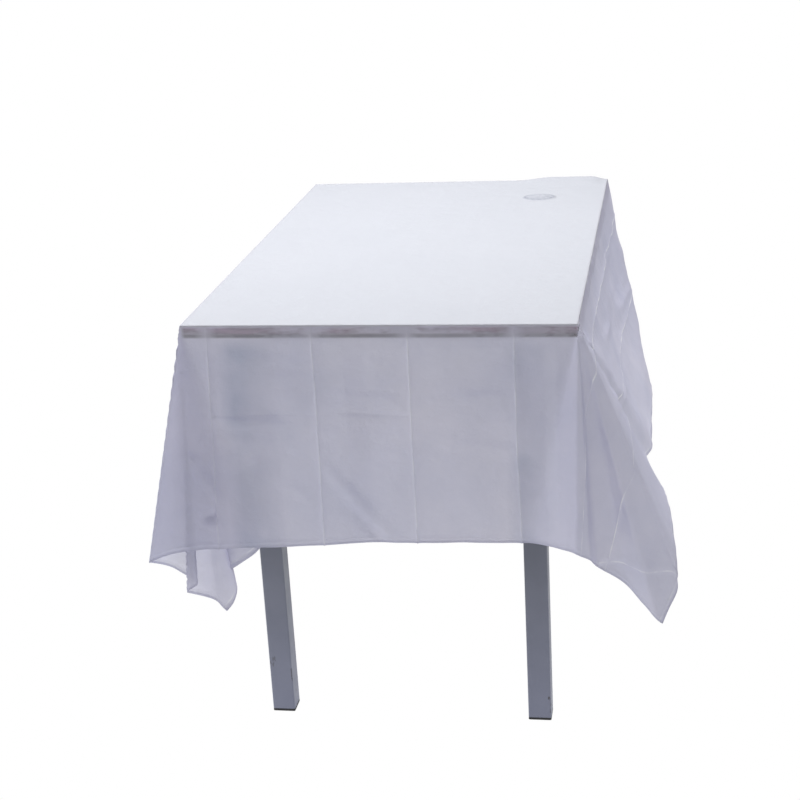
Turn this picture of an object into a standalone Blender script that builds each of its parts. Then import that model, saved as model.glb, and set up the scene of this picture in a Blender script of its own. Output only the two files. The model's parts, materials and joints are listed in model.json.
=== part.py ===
"""A four-legged table under a thin plastic film tablecloth.

Frame: metres, +Z up, floor at z = 0, +Y from the near end of the table to the far end. The whole object's
bounding box is centred on the Z axis. While it is modelled, the table's own centre is on the Z axis.
"""

import math

import bmesh
import bpy
from mathutils import Vector

# ---- driving dimensions ----------------------------------------------------------------------------------
GAP = 0.0003  # clearance between pieces that touch
MERGE_DISTANCE = 0.00001  # points closer than this are one point

TABLE_WIDTH = 0.600  # across, along X
TABLE_LENGTH = 1.000  # along Y
TABLE_HEIGHT = 0.722  # floor to the bare table top

CORE_THICKNESS = 0.0168
LAMINATE_THICKNESS = 0.0008
EDGE_BAND_THICKNESS = 0.0012

LEG_SIZE = 0.038  # outside of the square leg tube
LEG_WALL = 0.0015
LEG_CORNER_RADIUS = 0.0025
LEG_INSET_SIDE = 0.062  # table side to the leg's outer face
LEG_INSET_END = 0.109  # table end to the leg's outer face

PLATE_SIZE = 0.086  # square mounting plate on top of each leg
PLATE_THICKNESS = 0.003
PLATE_CORNER_RADIUS = 0.008
PLATE_SCREW_INSET = 0.011  # plate edge to screw axis

RAIL_HEIGHT = 0.040
RAIL_WIDTH = 0.020
RAIL_WALL = 0.0015
RAIL_CORNER_RADIUS = 0.002

FOOT_FLANGE_THICKNESS = 0.004
FOOT_PLUG_DEPTH = 0.020
FOOT_PLUG_WALL = 0.003

SCREW_SHANK_RADIUS = 0.0020
SCREW_HEAD_RADIUS = 0.0041
SCREW_HEAD_HEIGHT = 0.0024
SCREW_HEAD_RIM_HEIGHT = 0.0010  # straight part of the head's side
SCREW_HEAD_CROWN_RADIUS = 0.0029  # flat at the end of the head
SCREW_TIP_RADIUS = 0.0012  # where the tip's steep taper turns to its point
SCREW_DEPTH = 0.012  # shank in the core
SCREW_CLEARANCE = 0.0005  # radial clearance of a screw hole
SCREW_TIP_ROOM = 0.0013  # empty hole past the screw's tip
SCREW_SIDES = 12

CLOTH_THICKNESS = 0.0015
END_DROP = {"front": 0.360, "rear": 0.360}  # cloth past each end of the table, measured along the cloth
SIDE_DROP = {"left": 0.335, "right": 0.350}
END_LEAN = {"front": 0, "rear": 0}  # degrees that the middle of each drop hangs away from straight down
SIDE_LEAN = {"left": 2, "right": 12}
FLAT_MARGIN = 0.020  # outer strip of the covered top that the film bends over
EAR_REACH = 0.090  # how far past a table corner the cloth starts to turn round it
EAR_STEPS = 6  # hem segments on each side of a cloth corner
HEM_STEPS_WIDTH = 4
HEM_STEPS_LENGTH = 6

# How the spare cloth hangs at each corner of the table, as the cloth would be cut by a small sphere round
# that corner: points in degrees from straight down, first outward past the side, then outward past the end.
EAR_SECTIONS = {
    ("left", "front"): [(-13, 0), (3, 3), (12.5, 1), (5, -8), (0, -9), (2, -17)],
    ("right", "front"): [(-13, 0), (0, 7), (12, -1), (20, -3), (21.5, -12), (20, -20)],
    ("left", "rear"): [(-13, 0), (3, 6), (12, 2), (9, -6), (3, -11), (2, -17)],
    ("right", "rear"): [(-13, 0), (2, 7), (12, 2), (11, -6), (8, -13), (11, -17)],
}

# ---- sizes that follow -----------------------------------------------------------------------------------
TOP_THICKNESS = CORE_THICKNESS + 2 * (LAMINATE_THICKNESS + GAP)
TOP_UNDERSIDE = TABLE_HEIGHT - TOP_THICKNESS
PLATE_TOP = TOP_UNDERSIDE - GAP
PLATE_UNDERSIDE = PLATE_TOP - PLATE_THICKNESS
LEG_TOP = PLATE_UNDERSIDE - GAP
LEG_BOTTOM = FOOT_FLANGE_THICKNESS + GAP
LEG_X = TABLE_WIDTH / 2 - LEG_INSET_SIDE - LEG_SIZE / 2
LEG_Y = TABLE_LENGTH / 2 - LEG_INSET_END - LEG_SIZE / 2
RAIL_TOP = PLATE_UNDERSIDE - GAP
RAIL_CENTRE_Z = RAIL_TOP - RAIL_HEIGHT / 2
CORE_CENTRE_Z = TABLE_HEIGHT - TOP_THICKNESS / 2
SCREW_LENGTH = PLATE_THICKNESS + LAMINATE_THICKNESS + 3 * GAP + SCREW_DEPTH  # from the plate's underside
SCREW_HOLE_REACH = SCREW_LENGTH + SCREW_TIP_ROOM
SIDES = {"left": -1, "right": 1}
ENDS = {"front": -1, "rear": 1}


# ---- scene and materials ---------------------------------------------------------------------------------
def clear_scene():
    for obj in list(bpy.data.objects):
        bpy.data.objects.remove(obj, do_unlink=True)


def new_collection(name, hidden=False):
    collection = bpy.data.collections.new(name)
    collection.hide_render = hidden
    bpy.context.scene.collection.children.link(collection)
    return collection


def new_material(name, colour, roughness, metallic=0.0):
    material = bpy.data.materials.new(name)
    material.use_nodes = True
    shader = material.node_tree.nodes["Principled BSDF"]
    shader.inputs["Base Color"].default_value = (*colour, 1.0)
    shader.inputs["Roughness"].default_value = roughness
    shader.inputs["Metallic"].default_value = metallic
    return material


clear_scene()
PARTS = new_collection("covered_table")
CUTTERS = new_collection("cutters", hidden=True)
FILM = new_material("film", (0.70, 0.71, 0.78), 0.35)
LAMINATE = new_material("laminate", (0.80, 0.80, 0.80), 0.40)
CHIPBOARD = new_material("chipboard", (0.45, 0.34, 0.22), 0.85)
EDGING = new_material("edging", (0.45, 0.38, 0.42), 0.45)
PAINTED_STEEL = new_material("painted_steel", (0.26, 0.28, 0.33), 0.45, 0.2)
BLACK_PLASTIC = new_material("black_plastic", (0.03, 0.03, 0.035), 0.60)
ZINC = new_material("zinc", (0.55, 0.56, 0.58), 0.35, 1.0)


# ---- modelling helpers -----------------------------------------------------------------------------------
def add_object(name, mesh, material=None, collection=None):
    obj = bpy.data.objects.new(name, mesh)
    (collection or PARTS).objects.link(obj)
    if material:
        mesh.materials.append(material)
    return obj


def box_mesh(name, size):
    """A box centred on the origin."""
    mesh = bpy.data.meshes.new(name)
    bm = bmesh.new()
    bmesh.ops.create_cube(bm, size=1.0)
    bmesh.ops.scale(bm, vec=Vector(size), verts=bm.verts)
    bm.to_mesh(mesh)
    bm.free()
    return mesh


def add_box(name, size, centre, material):
    obj = add_object(name, box_mesh(name, size), material)
    obj.location = centre
    return obj


def add_boolean(obj, other, operation="DIFFERENCE"):
    boolean = obj.modifiers.new(other.name, "BOOLEAN")
    boolean.operation = operation
    boolean.object = other
    return boolean


def add_cutter(name, mesh, centre):
    obj = add_object(name, mesh, collection=CUTTERS)
    obj.location = centre
    obj.hide_render = True
    obj.display_type = "WIRE"
    return obj


def along(vector, axis):
    """True for a box edge that runs along the axis."""
    return abs(vector[axis]) > 0.5 * vector.length


def add_tube(name, size, axis, radius, wall):
    """A rectangular tube centred on the origin, open at both ends of its axis, walls inside the given size."""
    mesh = bpy.data.meshes.new(name)
    bm = bmesh.new()
    bmesh.ops.create_cube(bm, size=1.0)
    bmesh.ops.scale(bm, vec=Vector(size), verts=bm.verts)
    ends = [face for face in bm.faces if abs(face.normal[axis]) > 0.5]
    bmesh.ops.delete(bm, geom=ends, context="FACES_ONLY")
    corners = [edge for edge in bm.edges if along(edge.verts[1].co - edge.verts[0].co, axis)]
    bmesh.ops.bevel(bm, geom=corners, offset=radius, segments=3, profile=0.5, affect="EDGES")
    bm.to_mesh(mesh)
    bm.free()
    obj = add_object(name, mesh, PAINTED_STEEL)
    solidify = obj.modifiers.new("wall", "SOLIDIFY")
    solidify.thickness = wall
    solidify.offset = -1.0
    solidify.use_even_offset = True
    return obj


def rounded_box_mesh(name, size, radius):
    """A box centred on the origin with its four upright edges rounded."""
    mesh = bpy.data.meshes.new(name)
    bm = bmesh.new()
    bmesh.ops.create_cube(bm, size=1.0)
    bmesh.ops.scale(bm, vec=Vector(size), verts=bm.verts)
    uprights = [edge for edge in bm.edges if along(edge.verts[1].co - edge.verts[0].co, 2)]
    bmesh.ops.bevel(bm, geom=uprights, offset=radius, segments=3, profile=0.5, affect="EDGES")
    bm.to_mesh(mesh)
    bm.free()
    return mesh


def cylinder_mesh(name, radius, depth, sides):
    mesh = bpy.data.meshes.new(name)
    bm = bmesh.new()
    bmesh.ops.create_cone(bm, cap_ends=True, segments=sides, radius1=radius, radius2=radius, depth=depth)
    bm.to_mesh(mesh)
    bm.free()
    return mesh


# ---- table top -------------------------------------------------------------------------------------------
def core_size():
    """The chipboard core fills the top inside its edge bands and between its laminates."""
    band = EDGE_BAND_THICKNESS + GAP
    return (TABLE_WIDTH - 2 * band, TABLE_LENGTH - 2 * band, CORE_THICKNESS)


def make_table_top():
    width, length, thickness = core_size()
    core = add_box("tabletop_core", (width, length, thickness), (0, 0, CORE_CENTRE_Z), CHIPBOARD)
    offset = thickness / 2 + GAP + LAMINATE_THICKNESS / 2
    sheet = (width, length, LAMINATE_THICKNESS)
    add_box("tabletop_laminate", sheet, (0, 0, CORE_CENTRE_Z + offset), LAMINATE)
    backing = add_box("tabletop_backing", sheet, (0, 0, CORE_CENTRE_Z - offset), LAMINATE)
    return core, backing


def make_edge_bands():
    """Two long bands between two end bands that run the full width."""
    thickness = EDGE_BAND_THICKNESS
    side_length = TABLE_LENGTH - 2 * (thickness + GAP)
    for side, sign in SIDES.items():
        centre = (sign * (TABLE_WIDTH - thickness) / 2, 0, CORE_CENTRE_Z)
        add_box(f"edge_band_{side}", (thickness, side_length, TOP_THICKNESS), centre, EDGING)
    for end, sign in ENDS.items():
        centre = (0, sign * (TABLE_LENGTH - thickness) / 2, CORE_CENTRE_Z)
        add_box(f"edge_band_{end}", (TABLE_WIDTH, thickness, TOP_THICKNESS), centre, EDGING)


# ---- legs, plates, rails and feet ------------------------------------------------------------------------
def make_leg(label, x, y):
    length = LEG_TOP - LEG_BOTTOM
    leg = add_tube(f"leg_{label}", (LEG_SIZE, LEG_SIZE, length), 2, LEG_CORNER_RADIUS, LEG_WALL)
    leg.location = (x, y, LEG_BOTTOM + length / 2)


def make_leg_plate(label, x, y):
    size = (PLATE_SIZE, PLATE_SIZE, PLATE_THICKNESS)
    plate = add_object(f"leg_plate_{label}", rounded_box_mesh(f"leg_plate_{label}", size, PLATE_CORNER_RADIUS))
    plate.data.materials.append(PAINTED_STEEL)
    plate.location = (x, y, PLATE_UNDERSIDE + PLATE_THICKNESS / 2)
    return plate


def make_foot(label, x, y):
    """A plastic end cap: a flange under the leg and a hollow plug up inside its tube."""
    flange_size = (LEG_SIZE, LEG_SIZE, FOOT_FLANGE_THICKNESS)
    foot = add_object(f"foot_{label}", rounded_box_mesh(f"foot_{label}", flange_size, LEG_CORNER_RADIUS))
    foot.data.materials.append(BLACK_PLASTIC)
    foot.location = (x, y, FOOT_FLANGE_THICKNESS / 2)
    plug_width = LEG_SIZE - 2 * (LEG_WALL + GAP)
    plug_height = FOOT_PLUG_DEPTH + FOOT_FLANGE_THICKNESS / 2
    plug_mesh = rounded_box_mesh(f"foot_plug_{label}", (plug_width, plug_width, plug_height), LEG_CORNER_RADIUS)
    plug = add_cutter(f"foot_plug_{label}", plug_mesh, (x, y, (FOOT_FLANGE_THICKNESS + plug_height) / 2))
    add_boolean(foot, plug, "UNION")
    bore_width = plug_width - 2 * FOOT_PLUG_WALL
    bore_height = FOOT_PLUG_DEPTH + FOOT_FLANGE_THICKNESS
    bore_mesh = box_mesh(f"foot_bore_{label}", (bore_width, bore_width, bore_height))
    bore = add_cutter(f"foot_bore_{label}", bore_mesh, (x, y, FOOT_FLANGE_THICKNESS + bore_height / 2))
    add_boolean(foot, bore)


def make_rails():
    """Four rails between the legs, each butting against two of them."""
    for side, sign in SIDES.items():
        length = 2 * LEG_Y - LEG_SIZE - 2 * GAP
        rail = add_tube(f"rail_{side}", (RAIL_WIDTH, length, RAIL_HEIGHT), 1, RAIL_CORNER_RADIUS, RAIL_WALL)
        rail.location = (sign * LEG_X, 0, RAIL_CENTRE_Z)
    for end, sign in ENDS.items():
        length = 2 * LEG_X - LEG_SIZE - 2 * GAP
        rail = add_tube(f"rail_{end}", (length, RAIL_WIDTH, RAIL_HEIGHT), 0, RAIL_CORNER_RADIUS, RAIL_WALL)
        rail.location = (0, sign * LEG_Y, RAIL_CENTRE_Z)


# ---- screws ----------------------------------------------------------------------------------------------
def screw_mesh():
    """A pan-head screw pointing up, with the underside of its head at z = 0, turned about Z."""
    length = SCREW_LENGTH
    head = SCREW_HEAD_HEIGHT
    outline = [
        (0, length),
        (SCREW_TIP_RADIUS, length - SCREW_SHANK_RADIUS),
        (SCREW_SHANK_RADIUS, length - 2 * SCREW_SHANK_RADIUS),
        (SCREW_SHANK_RADIUS, -GAP),
        (SCREW_HEAD_RADIUS, -GAP),
        (SCREW_HEAD_RADIUS, -GAP - SCREW_HEAD_RIM_HEIGHT),
        (SCREW_HEAD_CROWN_RADIUS, -GAP - head),
        (0, -GAP - head),
    ]
    mesh = bpy.data.meshes.new("screw")
    bm = bmesh.new()
    verts = [bm.verts.new((x, 0, z)) for x, z in outline]
    edges = [bm.edges.new(pair) for pair in zip(verts, verts[1:])]
    bmesh.ops.spin(
        bm, geom=verts + edges, axis=(0, 0, 1), cent=(0, 0, 0), angle=math.tau, steps=SCREW_SIDES, use_merge=True
    )
    bmesh.ops.remove_doubles(bm, verts=bm.verts, dist=MERGE_DISTANCE)
    bmesh.ops.recalc_face_normals(bm, faces=bm.faces)
    bm.to_mesh(mesh)
    bm.free()
    mesh.materials.append(ZINC)
    return mesh


def make_plate_screws(label, x, y, plate, core, backing, screw, hole):
    """Four screws up through the plate and the backing into the core, each in a clearance hole."""
    reach = PLATE_SIZE / 2 - PLATE_SCREW_INSET
    for number, (dx, dy) in enumerate([(-1, -1), (1, -1), (1, 1), (-1, 1)], start=1):
        place = (x + dx * reach, y + dy * reach, PLATE_UNDERSIDE)
        obj = add_object(f"plate_screw_{label}_{number}", screw)
        obj.location = place
        cutter = add_cutter(f"screw_hole_{label}_{number}", hole, place)
        for piece in (plate, core, backing):
            add_boolean(piece, cutter)


# ---- tablecloth ------------------------------------------------------------------------------------------
def spline_point(points, share):
    """A point of the Catmull-Rom curve through the points, share from 0 to 1."""
    last = len(points) - 1
    at = min(max(share, 0.0), 1.0) * last
    index = min(int(at), last - 1)
    t = at - index
    before, start = points[max(index - 1, 0)], points[index]
    end, after = points[index + 1], points[min(index + 2, last)]
    result = []
    for p0, p1, p2, p3 in zip(before, start, end, after):
        bend = 2 * p0 - 5 * p1 + 4 * p2 - p3
        result.append(0.5 * (2 * p1 + (p2 - p0) * t + bend * t**2 + (3 * p1 - 3 * p2 + p3 - p0) * t**3))
    return result


def hanging_direction(outward, endward):
    """Unit direction at the given angles from straight down, in degrees, for the corner at +X and +Y."""
    tilt = math.radians(math.hypot(outward, endward))
    heading = math.atan2(endward, outward)
    flat = math.sin(tilt)
    return Vector((flat * math.cos(heading), flat * math.sin(heading), -math.cos(tilt)))


def ear_hem(section, side_drop, end_drop):
    """The hem round one cloth corner, as offsets from the table corner, from the end of the table to the side.

    Flat on a floor, the hem goes straight out to the cloth's corner and straight back. Each point keeps its
    distance from the table corner and hangs in the direction that the ear's section gives.
    """
    flat_hem = []
    for step in range(EAR_STEPS + 1):
        share = step / EAR_STEPS
        flat_hem.append((-EAR_REACH + share * (side_drop + EAR_REACH), end_drop))
    for step in range(1, EAR_STEPS + 1):
        share = step / EAR_STEPS
        flat_hem.append((side_drop, end_drop - share * (end_drop + EAR_REACH)))
    angles = [math.atan2(-p, q) for p, q in flat_hem]
    first, last = angles[0], angles[-1]
    offsets = []
    for (p, q), angle in zip(flat_hem, angles):
        share = (angle - first) / (last - first)
        offsets.append(hanging_direction(*spline_point(section, share)) * math.hypot(p, q))
    return offsets


def cloth_outlines():
    """Two matching closed outlines, as points in order: the table edge and the hem under it."""
    half_x = TABLE_WIDTH / 2 + GAP
    half_y = TABLE_LENGTH / 2 + GAP
    level = TABLE_HEIGHT + GAP
    edge, hem = [], []

    def add_corner(side, end, backwards):
        sx, sy = SIDES[side], ENDS[end]
        offsets = ear_hem(EAR_SECTIONS[side, end], SIDE_DROP[side], END_DROP[end])
        corner = Vector((sx * half_x, sy * half_y, level))
        for offset in reversed(offsets) if backwards else offsets:
            edge.append(corner)
            hem.append(corner + Vector((sx * offset.x, sy * offset.y, offset.z)))

    def add_straight(start, end, outward, drop, lean, steps):
        hang = Vector(outward) * math.sin(math.radians(lean)) - Vector((0, 0, math.cos(math.radians(lean))))
        for step in range(steps + 1):
            point = Vector(start).lerp(Vector(end), step / steps)
            edge.append(point)
            hem.append(point + hang * drop)

    def add_end(end, backwards):
        sy = ENDS[end]
        reach = -inner_x if backwards else inner_x
        line = ((-reach, sy * half_y, level), (reach, sy * half_y, level))
        add_straight(*line, (0, sy, 0), END_DROP[end], END_LEAN[end], HEM_STEPS_WIDTH)

    def add_side(side, backwards):
        sx = SIDES[side]
        reach = -inner_y if backwards else inner_y
        line = ((sx * half_x, -reach, level), (sx * half_x, reach, level))
        add_straight(*line, (sx, 0, 0), SIDE_DROP[side], SIDE_LEAN[side], HEM_STEPS_LENGTH)

    inner_x, inner_y = half_x - 2 * EAR_REACH, half_y - 2 * EAR_REACH
    add_end("front", False)
    add_corner("right", "front", False)
    add_side("right", False)
    add_corner("right", "rear", True)
    add_end("rear", True)
    add_corner("left", "rear", False)
    add_side("left", True)
    add_corner("left", "front", True)
    return edge, hem


def make_tablecloth():
    """One open sheet over the top and down all four sides, given its thickness outward."""
    edge, hem = cloth_outlines()
    mesh = bpy.data.meshes.new("tablecloth")
    bm = bmesh.new()
    upper = [bm.verts.new(point) for point in edge]
    lower = [bm.verts.new(point) for point in hem]
    for index in range(len(upper)):
        following = (index + 1) % len(upper)
        bm.faces.new((upper[index], lower[index], lower[following], upper[following]))
    bm.faces.new(upper)
    bmesh.ops.remove_doubles(bm, verts=bm.verts, dist=MERGE_DISTANCE)
    top = max(bm.faces, key=lambda face: face.calc_area())
    bmesh.ops.inset_region(bm, faces=[top], thickness=FLAT_MARGIN, use_even_offset=True)
    bmesh.ops.recalc_face_normals(bm, faces=bm.faces)
    bm.to_mesh(mesh)
    bm.free()
    cloth = add_object("tablecloth", mesh, FILM)
    solidify = cloth.modifiers.new("film", "SOLIDIFY")
    solidify.thickness = CLOTH_THICKNESS
    solidify.offset = 1.0


# ---- assembly --------------------------------------------------------------------------------------------
def make_corner_pieces(core, backing):
    """Each corner's leg, foot, mounting plate and screws."""
    screw = screw_mesh()
    hole = cylinder_mesh("screw_hole", SCREW_SHANK_RADIUS + SCREW_CLEARANCE, 2 * SCREW_HOLE_REACH, SCREW_SIDES)
    for end, sy in ENDS.items():
        for side, sx in SIDES.items():
            label, x, y = f"{end}_{side}", sx * LEG_X, sy * LEG_Y
            make_leg(label, x, y)
            make_foot(label, x, y)
            plate = make_leg_plate(label, x, y)
            make_plate_screws(label, x, y, plate, core, backing, screw, hole)


def centre_on_floor():
    """Moves the whole object so that its bounding box is centred on the Z axis."""
    bpy.context.view_layer.update()
    graph = bpy.context.evaluated_depsgraph_get()
    corners = []
    for obj in PARTS.objects:
        evaluated = obj.evaluated_get(graph)
        corners += [evaluated.matrix_world @ Vector(corner) for corner in evaluated.bound_box]
    middle_x = (min(c.x for c in corners) + max(c.x for c in corners)) / 2
    middle_y = (min(c.y for c in corners) + max(c.y for c in corners)) / 2
    for obj in list(PARTS.objects) + list(CUTTERS.objects):
        obj.location -= Vector((middle_x, middle_y, 0))


def main():
    core, backing = make_table_top()
    make_edge_bands()
    make_corner_pieces(core, backing)
    make_rails()
    make_tablecloth()
    centre_on_floor()


main()
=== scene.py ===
"""The covered table's finished look round the CAD frame: film cloth, table parts, floor, light and camera."""

import json
import math

import bpy
import numpy as np
from mathutils import Matrix, Vector, noise

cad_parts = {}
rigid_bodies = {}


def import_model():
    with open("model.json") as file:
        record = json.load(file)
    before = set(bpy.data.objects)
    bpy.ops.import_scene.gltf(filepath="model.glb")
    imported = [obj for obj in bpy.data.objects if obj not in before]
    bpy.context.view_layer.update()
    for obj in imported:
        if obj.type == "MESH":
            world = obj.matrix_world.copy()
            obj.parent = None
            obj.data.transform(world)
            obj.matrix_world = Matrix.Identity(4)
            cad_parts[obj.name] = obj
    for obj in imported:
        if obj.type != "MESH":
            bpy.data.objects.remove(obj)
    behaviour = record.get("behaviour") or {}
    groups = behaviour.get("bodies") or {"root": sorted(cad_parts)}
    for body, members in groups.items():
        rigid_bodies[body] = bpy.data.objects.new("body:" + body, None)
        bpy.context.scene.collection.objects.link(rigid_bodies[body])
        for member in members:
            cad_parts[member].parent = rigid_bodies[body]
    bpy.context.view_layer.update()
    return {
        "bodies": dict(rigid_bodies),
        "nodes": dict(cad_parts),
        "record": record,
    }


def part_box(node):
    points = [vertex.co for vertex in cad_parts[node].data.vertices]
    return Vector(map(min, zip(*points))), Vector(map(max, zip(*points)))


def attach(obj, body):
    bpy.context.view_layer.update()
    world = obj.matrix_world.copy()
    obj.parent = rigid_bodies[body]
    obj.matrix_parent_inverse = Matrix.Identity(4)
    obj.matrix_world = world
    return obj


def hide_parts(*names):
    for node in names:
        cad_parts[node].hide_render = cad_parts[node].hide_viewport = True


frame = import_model()
ROOT = next(iter(frame["bodies"]))

# ---- sizes read from the frame ---------------------------------------------------------------------------
CORE_LOW, CORE_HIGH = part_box("tabletop_core")
BAND_LOW, BAND_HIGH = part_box("edge_band_front")
LAMINATE_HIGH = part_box("tabletop_laminate")[1]
MIDDLE = ((CORE_LOW[0] + CORE_HIGH[0]) / 2, (CORE_LOW[1] + CORE_HIGH[1]) / 2)
TOP_WIDTH = BAND_HIGH[0] - BAND_LOW[0]
TOP_LENGTH = 2 * (MIDDLE[1] - BAND_LOW[1])
TOP_LEVEL = LAMINATE_HIGH[2]
SLAB_UNDERSIDE = BAND_LOW[2]

# ---- the cloth, in metres --------------------------------------------------------------------------------
FILM_GAP = 0.0009  # table to film
TOP_GAP = 0.0014  # table top to film
EDGE_RADIUS = 0.0022  # how tightly the film bends over the table's edge
LEFT_DROP = 0.335
RIGHT_DROP = 0.350
FRONT_DROP_LEFT = 0.372  # the cloth lies slightly askew, so the hem is lower at the left
FRONT_DROP_MIDDLE = 0.353
FRONT_DROP_RIGHT = 0.350
REAR_DROP = 0.360
GRID_STEP = 0.006
HEM_LINES = (0.0010, 0.0022, 0.0035)  # grid lines inside the hem; the last is how far it is turned back
WELD_LINES = (0.0064, 0.0078, 0.0092)  # grid lines beside the weld, which is the middle one
HEM_LIFT = 0.0008  # the folded-back layer lies this far behind the film
CREASES_ACROSS = (-0.417, -0.261, -0.098, 0.048, 0.207, 0.363, 0.492)  # package folds along the length
CREASES_ALONG = (-0.645, -0.215, 0.215, 0.645)  # fainter folds across it
PUCKER_PLACE = (0.176, 0.338)  # the pucker on the table top, from the table's middle
PUCKER_REACH = (0.033, 0.028)
PUCKER_HEIGHT = 0.004
FAR_EDGE_LIFT = 0.006  # the loose stretch by the far right corner
EAR_LINE_START = (0.170, 0.342)  # where the line across the right front ear starts, past the side and the end
EAR_LINE_FALL = 0.46  # how fast it climbs towards the side's hem
EAR_RIDGE_HEIGHT = 0.0022
EAR_RIDGE_WIDTH = 0.0030
EAR_RIDGE_SPACING = 0.010
EAR_LAYER_HEIGHT = 0.0030

# How the spare cloth hangs from each corner of the table. Each row is an angle round the corner in the flat
# cloth, from the end's edge (0) past straight down (90) and the cloth's corner (about 135) to the side's
# edge (270), and the direction in which the film there hangs: degrees from straight down, outward past
# the side and outward past the end.
EARS = {
    ("right", "front"): [
        (0, -90, 0), (40, -50, 0), (65, -25, 0), (78, -12, 0), (84, -8, 2.5), (92, -2.5, 6),
        (98, -0.5, 7), (106, 2.2, 5.5), (116, 3.6, 0.5), (125.5, 9.2, -1), (130.6, 11.7, 0),
        (135, 14.3, 1), (137, 16, -0.5), (139.7, 18.3, -1.8), (143, 19.2, -2.5), (149, 20.5, -3),
        (157, 21.5, -6), (165, 22, -10), (173, 22, -13.5), (181, 21.5, -17), (189, 20.5, -21),
        (197, 18.5, -26.5), (204, 16.5, -32), (210, 14.2, -38.5), (216, 13.5, -41.5),
        (222, 14.2, -46), (230, 12.5, -53), (240, 9, -62), (255, 4, -76), (270, 0, -90),
    ],
    ("left", "front"): [
        (0, -90, 0), (40, -50, 0), (60, -29.5, 0), (70, -19, 0), (78.5, -10, -0.4), (84, -4.3, 0.1),
        (87.5, -1.3, 0.5), (90.9, 1.3, 1.2), (94.3, 3.9, 2), (98, 6.6, 3.1), (101.8, 8.9, 4.8),
        (105, 10.8, 6.5), (106.4, 11.2, 6.4), (107.6, 10.9, 5.2), (110.1, 9.5, 3), (113.3, 7.3, 1),
        (117.4, 4.2, 0.2), (119.7, 2.2, -0.3), (121, 1.6, 0.1), (122.2, 2.7, 0.8),
        (123.6, 3.9, 0.9), (124.7, 3, -0.1), (126.7, 1.1, -1.9), (129.1, -0.6, -3.7),
        (132, -2.4, -4), (133, -3.5, -4.3), (136, -4.5, -6.5), (139.1, -2.9, -6.4),
        (143.3, -6.8, -4.6), (147.9, -12.2, -3.6), (153, -16, -6.5), (158.5, -13, -10),
        (164, -8, -12), (170, -2, -12.5), (175, 2.5, -13.5), (181, 3.5, -17.5), (188, 2.5, -21.5),
        (195, 1, -26), (210, 0, -34.5), (225, 0, -46), (250, 0, -70), (270, 0, -90),
    ],
    ("right", "rear"): [
        (0, -90, 0), (40, -50, 0), (65, -25, 0), (78, -12, 0), (88, -6, 3), (98, -3, 8),
        (109, 0, 9.5), (119, 4, 7), (127, 5.5, 2), (134, 5, -3), (142, 3, -8), (150, 0, -10.5),
        (158, -1, -12), (166, 2, -15), (175, 5, -18), (185, 7, -21.5), (200, 9, -29),
        (215, 11, -40), (230, 12, -52), (250, 6, -70), (270, 0, -90),
    ],
    ("left", "rear"): [
        (0, -90, 0), (40, -50, 0), (65, -25, 0), (78, -12, 0), (88, -3, 3), (98, 3, 7), (109, 8, 8),
        (119, 11, 4), (127, 11.5, 0), (134, 10, -4), (142, 6, -8), (150, 2, -10), (158, 0.5, -10),
        (166, 2, -12), (175, 5, -14), (185, 5, -17), (195, 2, -22), (210, 0, -32), (225, 0, -45),
        (250, 0, -70), (270, 0, -90),
    ],
}


def smooth(low, high, value):
    """0 below low, 1 above high, and a smooth step between them."""
    t = np.clip((value - low) / (high - low), 0.0, 1.0)
    return t * t * (3 - 2 * t)


def curve_through(knots, values, at):
    """A smooth curve through (knot, value) pairs: cubic Hermite with averaged slopes."""
    knots, values = np.asarray(knots, float), np.asarray(values, float)
    slopes = np.gradient(values, knots)
    index = np.clip(np.searchsorted(knots, at, side="right") - 1, 0, len(knots) - 2)
    span = knots[index + 1] - knots[index]
    t = (at - knots[index]) / span
    a, b = values[index], values[index + 1]
    m, n = slopes[index] * span, slopes[index + 1] * span
    from_values = (2 * t**3 - 3 * t**2 + 1) * a + (3 * t**2 - 2 * t**3) * b
    from_slopes = (t**3 - 2 * t**2 + t) * m + (t**3 - t**2) * n
    return from_values + from_slopes


def hang_from_corner(ear, beyond_side, beyond_end):
    """Offsets past the side, past the end and up from a table corner, for offsets on the flat cloth."""
    radius = np.hypot(beyond_side, beyond_end)
    turn = 90 + np.degrees(np.arctan2(beyond_side, beyond_end))
    turn = np.where(turn < -1e-6, turn + 360, turn)
    knots, outward, endward = zip(*ear)
    x = curve_through(knots, outward, np.clip(turn, 0, 270))
    y = curve_through(knots, endward, np.clip(turn, 0, 270))
    tilt = np.hypot(x, y) + 1e-9
    flat = radius * np.sin(np.radians(tilt)) / tilt
    return flat * x, flat * y, -radius * np.cos(np.radians(tilt))


def draped(u, v):
    """Where each point of the flat cloth hangs. u and v are from the table's middle, across and along."""
    half_x, half_y = TOP_WIDTH / 2 + FILM_GAP, TOP_LENGTH / 2 + FILM_GAP
    level = TOP_LEVEL + TOP_GAP
    on_top = (np.abs(u) <= half_x) & (np.abs(v) <= half_y)
    places = np.zeros((*u.shape, 3))
    weights = np.zeros(u.shape)
    share_right = smooth(-0.8 * half_x, 0.8 * half_x, u)
    share_rear = smooth(-0.8 * half_y, 0.8 * half_y, v)
    for (side, end), ear in EARS.items():
        sx = 1 if side == "right" else -1
        sy = 1 if end == "rear" else -1
        x, y, z = hang_from_corner(ear, sx * u - half_x, sy * v - half_y)
        share_side = share_right if sx > 0 else 1 - share_right
        share_end = share_rear if sy > 0 else 1 - share_rear
        weight = share_side * share_end
        place = np.stack([sx * (half_x + x), sy * (half_y + y), level + z], -1)
        places += weight[..., None] * place
        weights += weight
    places /= weights[..., None]
    flat = np.stack([u, v, np.full(u.shape, level)], -1)
    return np.where(on_top[..., None], flat, places)


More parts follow.
